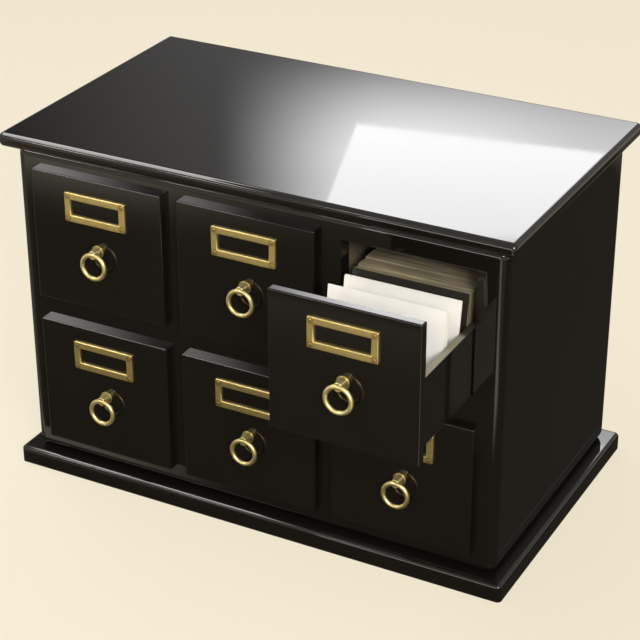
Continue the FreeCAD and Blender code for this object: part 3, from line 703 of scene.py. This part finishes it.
def card_finish(name, colour, rough=0.6, fleck=0.05, aged=0.0):
    """Pressed card. fleck is how strong its clouds are, aged how far some have darkened."""
    card = Finish(name)
    here = card.place()
    cloud = card.noise(here, scale=45.0)
    fibre = card.noise(here, scale=900.0, roughness=0.7)
    shade = card.mix(card.ease(cloud, 0.3, 0.7), shaded(colour, 1 - fleck), colour)
    fibres = card.ease(fibre, 0.55, 0.8, 0.0, FIBRE_MOST)
    shade = card.mix(fibres, shade, shaded(colour, 1 - 3 * fleck))
    if aged:
        each = card.noise(card.place(CARD_BY_CARD), scale=420.0, detail=2.0, roughness=0.7)
        darkened = card.ease(each, 0.35, 0.65, aged, 0.0)
        shade = card.mix(darkened, shade, shaded(colour, AGED_SHADE))
    return card.solid({
        "Base Color": shade,
        "Roughness": rough,
        "Normal": card.bump(fibre, distance=0.00003, strength=0.3),
    })


WHITE_CARD = card_finish("white_card", (0.76, 0.745, 0.70))
OFF_WHITE_CARD = card_finish("off_white_card", (0.80, 0.785, 0.75))
BUFF_CARD = card_finish("buff_card", (0.27, 0.23, 0.137), rough=0.65, fleck=0.10, aged=0.75)
PRESSBOARD = card_finish("pressboard", (0.013, 0.011, 0.007), rough=0.5, fleck=0.10)
print("cards", [finish.name for finish in (WHITE_CARD, OFF_WHITE_CARD, BUFF_CARD, PRESSBOARD)])

# %% [markdown]
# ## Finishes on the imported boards
#
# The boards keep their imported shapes. Each gets its finish by name: the drawer fronts and the
# rails and uprights between them are lacquered, the outer boards are lacquered outside and
# stained inside, the shelves and dividers are stained, and drawer backs and bottoms are pale
# wood with its grain across the drawer. The pieces that are made anew further on hide their
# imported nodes, which get a fitting finish all the same.

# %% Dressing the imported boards
OUTER_BOARDS = ("base_board", "top_board", "left_side", "right_side", "back_panel")
INNER_BOARDS = ("shelves", "partitions", "drawer_guides", "drawer_stops")
FINISH_BY_ENDING = {
    "_front": LACQUER,
    "_sides": SIDE_WOOD,
    "_back": PALE_WOOD,
    "_bottom": PALE_WOOD,
    "_label_frame": BRASS,
    "_pull_post": BRASS,
    "_pull_ring": BRASS,
    "guide_card": OFF_WHITE_CARD,
    "front_cards": WHITE_CARD,
    "middle_cards": WHITE_CARD,
    "divider_card": PRESSBOARD,
    "rear_cards": BUFF_CARD,
}


def finish_for(name):
    """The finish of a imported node. The rails and uprights of the face have plain lacquer."""
    if name in OUTER_BOARDS:
        return CABINET_LACQUER
    if name in INNER_BOARDS:
        return STAINED_WOOD
    for ending, finish in FINISH_BY_ENDING.items():
        if name.endswith(ending):
            return finish
    return LACQUER


for name, node in frame["nodes"].items():
    for slot in node.material_slots:
        slot.material = finish_for(name)
print("dressed", len(frame["nodes"]), "packed nodes")

# %% [markdown]
# ## Making pieces
#
# Every new piece starts as a bmesh and ends the same way: its faces are shaded smooth but
# kept sharp at real corners, it is attached to the body that carries it, and the imported
# node it stands for is hidden.

# %% Helper that ends a piece
SHARP_ANGLE = math.radians(35)


def finish_piece(name, shape, materials, drawer, node):
    bmesh.ops.recalc_face_normals(shape, faces=shape.faces)
    piece = mesh_object(name, shape, *materials)
    piece.data.shade_smooth()
    piece.data.set_sharp_from_angle(angle=SHARP_ANGLE)
    evened = piece.modifiers.new("even_shading", "WEIGHTED_NORMAL")
    evened.keep_sharp = True
    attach(piece, drawer + "_drawer")
    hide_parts(node)
    return piece


# %% Helpers for shapes
CLOSE = 1e-4


def extrude_by(shape, faces, vector):
    """Push faces out into a solid, keeping the ones they started from."""
    pushed = bmesh.ops.extrude_face_region(shape, geom=faces, use_keep_orig=True)["geom"]
    verts = [part for part in pushed if isinstance(part, bmesh.types.BMVert)]
    bmesh.ops.translate(shape, verts=verts, vec=vector)


def round_off(shape, parts, size, affect="EDGES"):
    bmesh.ops.bevel(
        shape, geom=parts, affect=affect, offset=size, segments=3, profile=0.5, material=-1
    )


def runs_back(edge):
    """True for an edge that runs from front to back."""
    return abs(edge.verts[0].co.y - edge.verts[1].co.y) > CLOSE


def map_metres(shape, axis, first, second):
    """A UV map in metres: along x or y from first, and up from second."""
    metres = shape.loops.layers.uv.new("metres")
    for face in shape.faces:
        for loop in face.loops:
            loop[metres].uv = (getattr(loop.vert.co, axis) - first, loop.vert.co.z - second)


# %% Where each drawer front is
ROWS, COLUMNS = ("upper", "lower"), ("left", "middle", "right")
DRAWERS = [f"{row}_{column}" for row in ROWS for column in COLUMNS]


def face_of(drawer):
    """Centre line, lower edge, back plane and outer plane of a drawer front."""
    low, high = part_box(drawer + "_front")
    return (low[0] + high[0]) / 2, low[2], high[1], low[1]


for drawer in DRAWERS:
    print(drawer, "front at", [round(v, 4) for v in face_of(drawer)])

# %% [markdown]
# ## Drawer sides
#
# Each drawer runs on two low sides, about half as high as its front, with a groove inside
# that holds the bottom. Their outer faces are lacquered like the front. The rest is pale wood
# with a painted shadow behind its front part, so only the front part shows as a light strip
# along the top. The outline of one side is drawn once, with its groove, and drawn out along the
# drawer; then the long edges at the top are eased. A UV map in metres from the front tells
# the finish where the painted shadow begins.

# %% Outline of a drawer side
SIDE_INNER, SIDE_OUTER = 0.0645, 0.0720
SIDE_LOW, SIDE_TOP = 0.0068, 0.0820
GROOVE_END, GROOVE_LOW, GROOVE_HIGH = 0.0675, 0.0337, 0.0387
SIDE_LONG = 0.288
SIDE_EASED = 0.0011
SIDE_OUTLINE = [
    (SIDE_INNER, SIDE_LOW), (SIDE_OUTER, SIDE_LOW),
    (SIDE_OUTER, SIDE_TOP), (SIDE_INNER, SIDE_TOP),
    (SIDE_INNER, GROOVE_HIGH), (GROOVE_END, GROOVE_HIGH),
    (GROOVE_END, GROOVE_LOW), (SIDE_INNER, GROOVE_LOW),
]
print("side board", round(SIDE_OUTER - SIDE_INNER, 4), "thick,", round(SIDE_TOP - SIDE_LOW, 4), "tall")

# %% Drawer sides
WOOD_INDEX, LACQUER_INDEX = 0, 1
SQUARELY = 0.9


def is_outer_face(face, centre):
    """True for a face that looks sideways, away from the middle of the drawer."""
    from_centre = face.calc_center_median().x - centre
    outwards = from_centre * face.normal.x > 0 and abs(face.normal.x) > SQUARELY
    return outwards and abs(from_centre) > SIDE_OUTER - CLOSE


def drawer_sides(drawer):
    centre, foot, back_y, _ = face_of(drawer)
    shape = bmesh.new()
    for hand in (-1, 1):
        corners = [shape.verts.new((centre + hand * x, back_y, foot + z)) for x, z in SIDE_OUTLINE]
        extrude_by(shape, [shape.faces.new(corners)], (0, SIDE_LONG, 0))
    high = foot + SIDE_TOP - CLOSE
    top = [edge for edge in shape.edges if runs_back(edge) and all(v.co.z > high for v in edge.verts)]
    round_off(shape, top, SIDE_EASED)
    bmesh.ops.recalc_face_normals(shape, faces=shape.faces)
    map_metres(shape, "y", back_y, foot)
    for face in shape.faces:
        face.material_index = LACQUER_INDEX if is_outer_face(face, centre) else WOOD_INDEX
    name, node = drawer + "_side_boards", drawer + "_sides"
    return finish_piece(name, shape, [SIDE_WOOD, LACQUER], drawer, node)


for drawer in DRAWERS:
    piece = drawer_sides(drawer)
print("drawer sides", len(piece.data.polygons), "faces each pair")

# %% [markdown]
# ## Brass of the label frames
#
# A label frame is a flat brass window, held by a small round pin in each corner. Its metal is
# duller than that of the rings, which fingers keep bright. Round each pin it is browner, partly
# patina and partly painted shade at the corners of the frame. The piece carries a UV map in
# metres from its own centre, so one pin's
# place, taken without its sign, stands for all four, and the finish measures from it.

# %% Brass of the label frames
LABEL_WIDE, LABEL_TALL, LABEL_THICK, LABEL_BAR = 0.0750, 0.0334, 0.0030, 0.0079
PIN_U, PIN_V = (LABEL_WIDE - LABEL_BAR) / 2, (LABEL_TALL - LABEL_BAR) / 2
BROWN_WHOLE, BROWN_GONE, BROWN_MOST = 0.0020, 0.0056, 0.7
BROWN_RAGGED = 0.002


# Partly patina, partly painted shade: browner at each pin, fading out a few millimetres away.
def pin_patina_and_shade(brass):
    u, v, _ = brass.split(brass.own_metres())
    beside = brass.maths("ABSOLUTE", u) - PIN_U
    above = brass.maths("ABSOLUTE", v) - PIN_V
    distance = brass.maths("SQRT", beside * beside + above * above)
    ragged = brass.noise(brass.place(), scale=500.0)
    distance = distance + (ragged - 0.5) * BROWN_RAGGED
    return brass.ease(distance, BROWN_WHOLE, BROWN_GONE, BROWN_MOST, 0.0)


LABEL_BRASS = brass_finish(
    "label_brass", light=(0.74, 0.59, 0.235), dark=(0.62, 0.485, 0.17), satin=0.425,
    patina_and_shade=pin_patina_and_shade,
)
print("label brass", LABEL_BRASS.name)

# %% [markdown]
# ## Label frames
#
# One rectangle is inset to leave four bars, the middle is taken out, and the bars are drawn
# out to their thickness. Two bevels follow: a round on the four outer corners, then a soft
# one on every front edge, so each bar looks slightly crowned. Each pin is a flattened ball,
# half sunk in the bar.

# %% The plate of a label frame


def label_plate(shape, centre, outer_y, middle):
    """The flat frame drawn out to its thickness, before its edges are rounded."""
    wide, tall = LABEL_WIDE / 2, LABEL_TALL / 2
    corners = [(-wide, -tall), (wide, -tall), (wide, tall), (-wide, tall)]
    verts = [shape.verts.new((centre + u, outer_y, middle + v)) for u, v in corners]
    plate = shape.faces.new(verts)
    plate.normal_update()
    bmesh.ops.inset_individual(shape, faces=[plate], thickness=LABEL_BAR, use_even_offset=True)
    bmesh.ops.delete(shape, geom=[plate], context="FACES")
    extrude_by(shape, list(shape.faces), (0, -LABEL_THICK, 0))
    bmesh.ops.recalc_face_normals(shape, faces=shape.faces)


# %% The edges that are rounded


def outer_corners(shape, centre):
    """The four edges at the outer corners. The inner ones lie nearer to the centre."""
    outside = LABEL_WIDE / 2 - CLOSE
    return [
        edge for edge in shape.edges
        if runs_back(edge) and all(abs(v.co.x - centre) > outside for v in edge.verts)
    ]


def front_rims(shape, front_y):
    """The edges all round the front face, outside and inside."""
    front = {face for face in shape.faces if all(v.co.y < front_y + CLOSE for v in face.verts)}
    return [edge for edge in shape.edges if sum(face in front for face in edge.link_faces) == 1]


# %% Label frames
LABEL_HIGH = 0.1165
LABEL_CORNER, LABEL_EDGE = 0.0020, 0.0012
PIN_RADIUS, PIN_FLAT = 0.0017, 0.2
PIN_STEPS, PIN_RINGS = 16, 10


def add_pin(shape, place):
    """A ball pressed flat from front to back."""
    pressed = Matrix.Translation(place) @ Matrix.Diagonal((1, PIN_FLAT, 1, 1))
    bmesh.ops.create_uvsphere(
        shape, u_segments=PIN_STEPS, v_segments=PIN_RINGS, radius=PIN_RADIUS, matrix=pressed
    )


def label_frame(drawer):
    centre, foot, _, outer_y = face_of(drawer)
    middle, front_y = foot + LABEL_HIGH, outer_y - LABEL_THICK
    shape = bmesh.new()
    label_plate(shape, centre, outer_y, middle)
    round_off(shape, outer_corners(shape, centre), LABEL_CORNER)
    round_off(shape, front_rims(shape, front_y), LABEL_EDGE)
    for u in (-PIN_U, PIN_U):
        for v in (-PIN_V, PIN_V):
            add_pin(shape, (centre + u, front_y, middle + v))
    map_metres(shape, "x", centre, middle)
    name, node = drawer + "_label_window", drawer + "_label_frame"
    return finish_piece(name, shape, [LABEL_BRASS], drawer, node)


for drawer in DRAWERS:
    piece = label_frame(drawer)
print("label frame", len(piece.data.polygons), "faces, box", [round(v, 4) for v in piece.dimensions])

# %% [markdown]
# ## Cards
#
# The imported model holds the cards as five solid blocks. Here each block becomes a stack of
# single cards. One card is a thin rectangle with its upper corners rounded, given its
# thickness, leaned back and set on the drawer's floor. A hand leaves cards in small batches
# that stand alike, so each batch draws how low and how far aside it stands, and each card in
# it differs from that by a hair. The draws come from a seeded generator, so every run is
# alike.

# %% One card
CARD_WIDE = 0.1262
CARD_FLOOR = 0.0387
CARD_LEAN = 0.012
CARD_CORNER = 0.0008


def lean_of(tall):
    return math.atan2(CARD_LEAN, tall)


def add_card(shape, tall, lower, thick, place):
    """One leaning card, lower than the height of its block by a little, with its foot at place."""
    earlier = {*shape.verts, *shape.faces}
    half, length = CARD_WIDE / 2, math.hypot(CARD_LEAN, tall) - lower
    corners = [(-half, 0.0), (half, 0.0), (half, length), (-half, length)]
    verts = [shape.verts.new((x, 0.0, z)) for x, z in corners]
    shape.faces.new(verts)
    round_off(shape, verts[2:], CARD_CORNER, affect="VERTICES")
    extrude_by(shape, [face for face in shape.faces if face not in earlier], (0, thick, 0))
    card = [vert for vert in shape.verts if vert not in earlier]
    leaned = Matrix.Translation(place) @ Matrix.Rotation(-lean_of(tall), 4, "X")
    bmesh.ops.transform(shape, matrix=leaned, verts=card)


# %% One stack of cards
OPEN_DRAWER = "upper_right"
LEAST_CARDS, MOST_CARDS = 3, 12
LEAST_LOWER, CARD_LOWER = 0.0002, 0.0004
BATCH_ASIDE, CARD_ASIDE = 0.0003, 0.0001
rng = random.Random(11)


def card_stack(node, name, foot, deep, tall, count, thick, finish, slot, uneven):
    """A stack deep metres from front to back that starts foot metres behind the front."""
    centre, low, back_y, _ = face_of(OPEN_DRAWER)
    shape = bmesh.new()
    step = (deep - thick / math.cos(lean_of(tall))) / max(count - 1, 1)
    batch_left = 0
    for index in range(count):
        if batch_left == 0:
            batch_left = rng.randint(LEAST_CARDS, MOST_CARDS)
            batch_low = rng.uniform(LEAST_LOWER, uneven)
            batch_aside = rng.uniform(-BATCH_ASIDE, BATCH_ASIDE)
        batch_left -= 1
        aside = batch_aside + rng.uniform(-CARD_ASIDE, CARD_ASIDE)
        lower = batch_low + rng.uniform(0.0, CARD_LOWER)
        place = (centre + aside, back_y + foot + index * step, low + CARD_FLOOR)
        add_card(shape, tall, lower, thick, place)
    piece = finish_piece(name, shape, [finish], OPEN_DRAWER, node)
    print(name, count, "cards,", len(piece.data.polygons), "faces")


# %% Stacks of cards
CARD_STACKS = {
    "guide_sheet": {
        "node": "guide_card", "finish": OFF_WHITE_CARD, "slot": "card_stock",
        "foot": 0.0684, "deep": 0.0010, "tall": 0.0810, "count": 1, "thick": 0.0009, "uneven": 0.0003,
    },
    "front_stack": {
        "node": "front_cards", "finish": WHITE_CARD, "slot": "card_stock",
        "foot": 0.0695, "deep": 0.0079, "tall": 0.0753, "count": 20, "thick": 0.0003, "uneven": 0.0008,
    },
    "middle_stack": {
        "node": "middle_cards", "finish": WHITE_CARD, "slot": "card_stock",
        "foot": 0.1036, "deep": 0.0020, "tall": 0.0753, "count": 5, "thick": 0.0003, "uneven": 0.0006,
    },
    "divider_sheet": {
        "node": "divider_card", "finish": PRESSBOARD, "slot": "divider_stock",
        "foot": 0.1216, "deep": 0.0010, "tall": 0.0753, "count": 1, "thick": 0.0009, "uneven": 0.0003,
    },
    "rear_stack": {
        "node": "rear_cards", "finish": BUFF_CARD, "slot": "buff_card_stock",
        "foot": 0.1227, "deep": 0.1450, "tall": 0.0753, "count": 190, "thick": 0.0004, "uneven": 0.0035,
    },
}
for name, stack in CARD_STACKS.items():
    card_stack(name=name, **stack)
